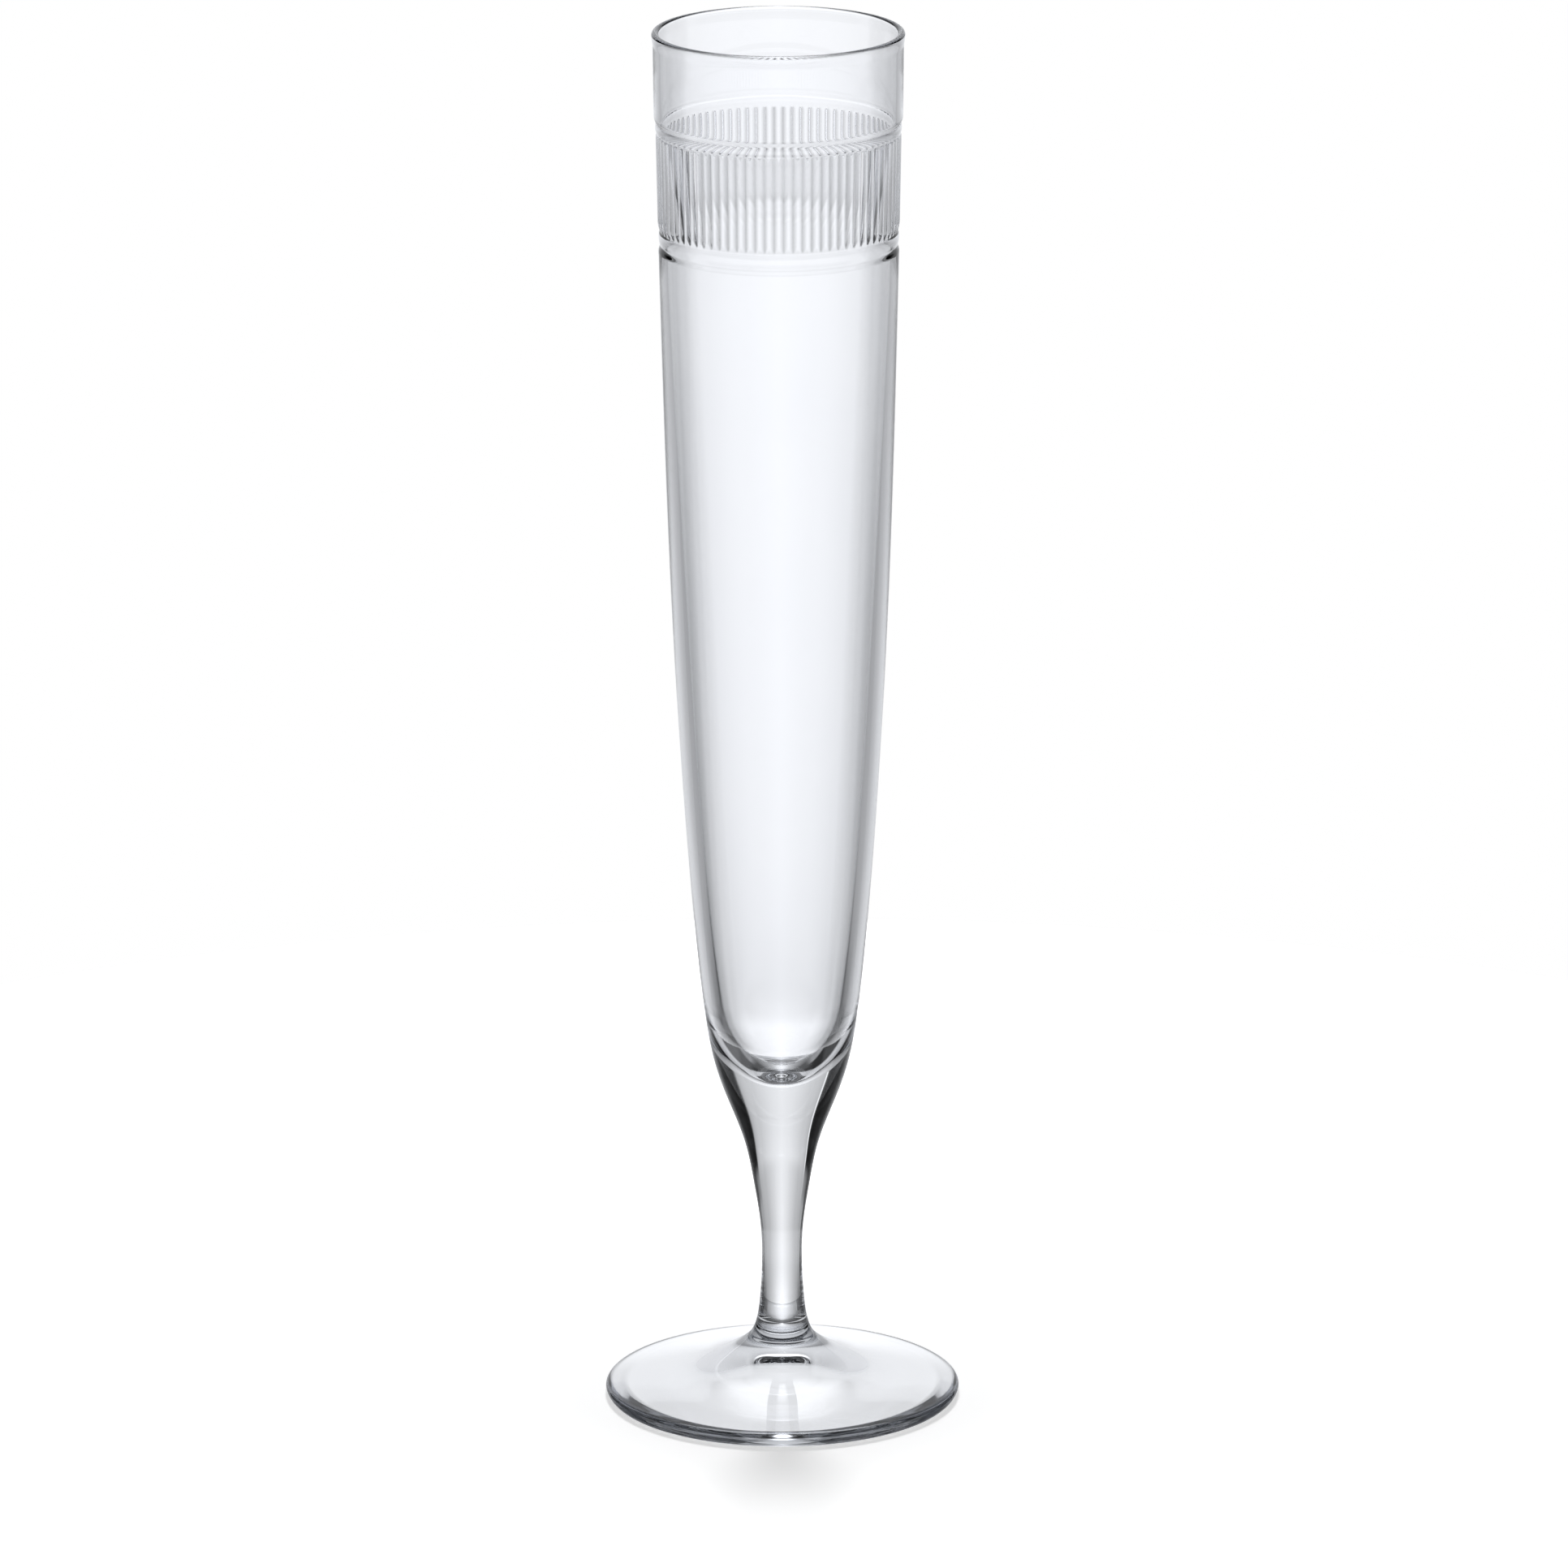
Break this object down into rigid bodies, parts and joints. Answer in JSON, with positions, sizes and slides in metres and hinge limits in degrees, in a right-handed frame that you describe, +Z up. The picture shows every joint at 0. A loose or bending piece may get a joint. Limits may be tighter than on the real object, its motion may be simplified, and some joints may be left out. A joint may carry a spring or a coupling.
{
  "type": "champagne flute",
  "caption": "Tall clear glass flute with a reeded band between fine beads below the rim, a short drawn stem and a flared round foot; holds and serves sparkling wine.",
  "frame": {"origin": "centre of the ring the foot rests on, in the plane of the table top", "axes": "+Z up along the axis the glass is turned about, towards the rim; X and Y lie in the table plane and are alike, because the glass is round"},
  "size_m": [0.0636, 0.0636, 0.25],
  "materials": {
    "bowl": "clear, fire-polished",
    "stem": "clear, fire-polished",
    "foot": "clear, fire-polished"
  },
  "bodies": {
    "root": {"bowl": "bowl", "stem": "stem", "foot": "foot"}
  },
  "joints": []
}
